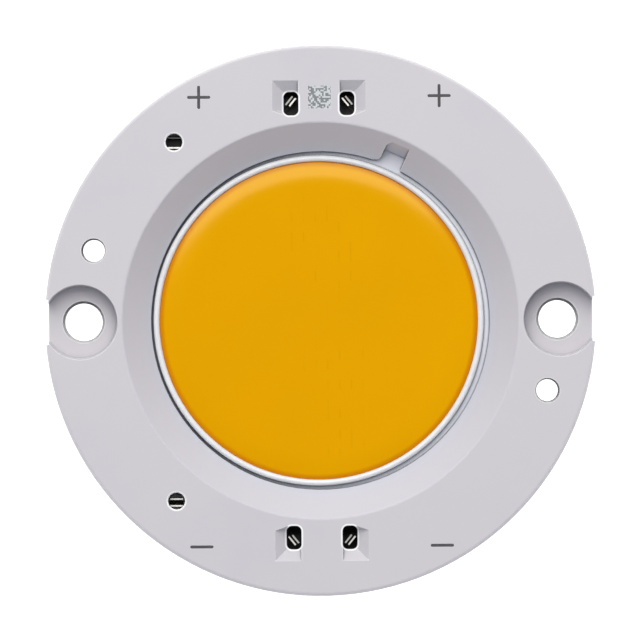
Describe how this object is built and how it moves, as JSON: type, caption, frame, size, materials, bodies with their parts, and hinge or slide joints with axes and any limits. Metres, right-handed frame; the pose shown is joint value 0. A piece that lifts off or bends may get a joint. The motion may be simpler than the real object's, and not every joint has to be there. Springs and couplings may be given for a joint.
{
  "type": "round chip-on-board led module",
  "caption": "Round chip-on-board LED module: yellow light surface in a white funnel cover, screw seats at the rim, push-in wire terminals and a flat metal base.",
  "frame": {"origin": "middle of the flat thermal face under the metal plate", "axes": "+Z is the light direction, +X runs through the two screw holes, +Y points to the positive terminals"},
  "size_m": [0.05, 0.0502, 0.005],
  "materials": {
    "metal_core": "rolled, fine satin",
    "solder_mask": "satin white mask",
    "copper": "bright foil",
    "chip": "smooth",
    "dam_silicone": "soft gloss silicone",
    "phosphor": "satin silicone filled with phosphor",
    "cover_plastic": "fine matt moulded surface",
    "block_plastic": "matt",
    "contact_metal": "tin plated, bright stamped edges",
    "mark_ink": "matt ink",
    "pattern_ink": "matt, with small grey dots"
  },
  "bodies": {
    "root": {"base_plate": "metal_core", "circuit_layer": "solder_mask", "anode_trace": "copper", "cathode_trace": "copper", "led_dies": "chip", "dam_ring": "dam_silicone", "phosphor_fill": "phosphor", "cover": "cover_plastic", "anode_terminal_block": "block_plastic", "cathode_terminal_block": "block_plastic", "anode_contact_rail": "contact_metal", "cathode_contact_rail": "contact_metal", "anode_clip_left": "contact_metal", "anode_clip_right": "contact_metal", "cathode_clip_left": "contact_metal", "cathode_clip_right": "contact_metal", "polarity_marks": "mark_ink", "dot_pattern_field": "pattern_ink"}
  },
  "joints": []
}
